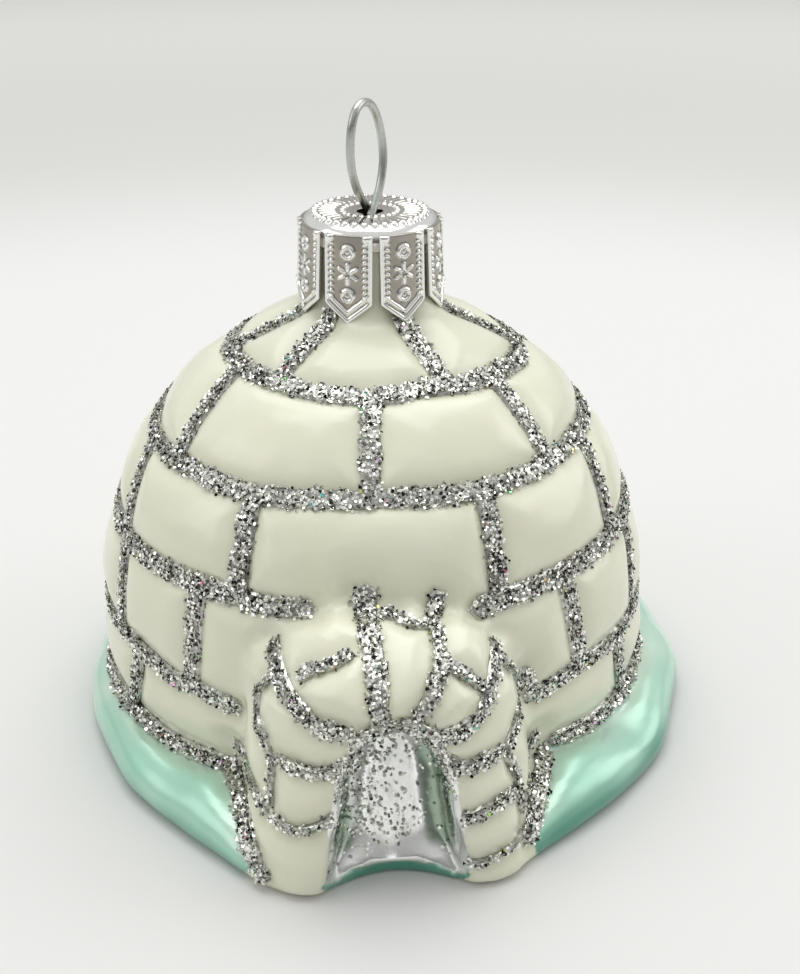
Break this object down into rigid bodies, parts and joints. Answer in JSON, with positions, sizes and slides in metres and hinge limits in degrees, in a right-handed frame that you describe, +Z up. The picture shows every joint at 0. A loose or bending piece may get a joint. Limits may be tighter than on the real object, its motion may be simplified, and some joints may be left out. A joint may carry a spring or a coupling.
{
  "type": "igloo glass tree ornament",
  "caption": "Mould-blown glass tree ornament shaped as a snow-block igloo, with glitter joints, a pressed metal cap and a wire hanging loop that turns.",
  "frame": {"origin": "on the underside, on the dome's vertical axis", "axes": "+Z up along the dome's axis through the cap; -Y out through the doorway; +X to the right of someone facing the doorway"},
  "size_m": [0.0747, 0.079, 0.0726],
  "materials": {
    "pearl_enamel": "opaque pearly cream enamel over silvered glass, glossy",
    "silvered_glass": "silvered, mirror bright, dusted with glitter",
    "teal_lacquer": "translucent mint-teal lacquer over silvering, glossy",
    "silver_glitter": "silver glitter flakes in clear glue",
    "cap_metal": "bright, pressed and embossed",
    "hook_wire": "drawn wire, satin"
  },
  "bodies": {
    "ornament": {"cap": "cap_metal", "dome_glass": "pearl_enamel", "doorway_niche": "silvered_glass", "foot_glass": "teal_lacquer", "glitter_corner_left": "silver_glitter", "glitter_corner_right": "silver_glitter", "glitter_foot_line": "silver_glitter", "glitter_ground_left": "silver_glitter", "glitter_ground_right": "silver_glitter", "glitter_joints_1": "silver_glitter", "glitter_joints_2": "silver_glitter", "glitter_joints_3": "silver_glitter", "glitter_joints_4": "silver_glitter", "glitter_joints_5": "silver_glitter", "glitter_keystones": "silver_glitter", "glitter_line_1": "silver_glitter", "glitter_line_2": "silver_glitter", "glitter_line_3": "silver_glitter", "glitter_line_4": "silver_glitter", "glitter_porch_brow": "silver_glitter", "glitter_porch_lines_left": "silver_glitter", "glitter_porch_lines_right": "silver_glitter", "porch_glass": "pearl_enamel"},
    "hanger": {"hanger_wire": "hook_wire"}
  },
  "joints": [
    {"name": "hanger_swivel", "type": "hinge", "parent": "ornament", "child": "hanger", "pos_m": [0, 0, 0.06], "axis": [0, 0, 1], "continuous": true}
  ]
}
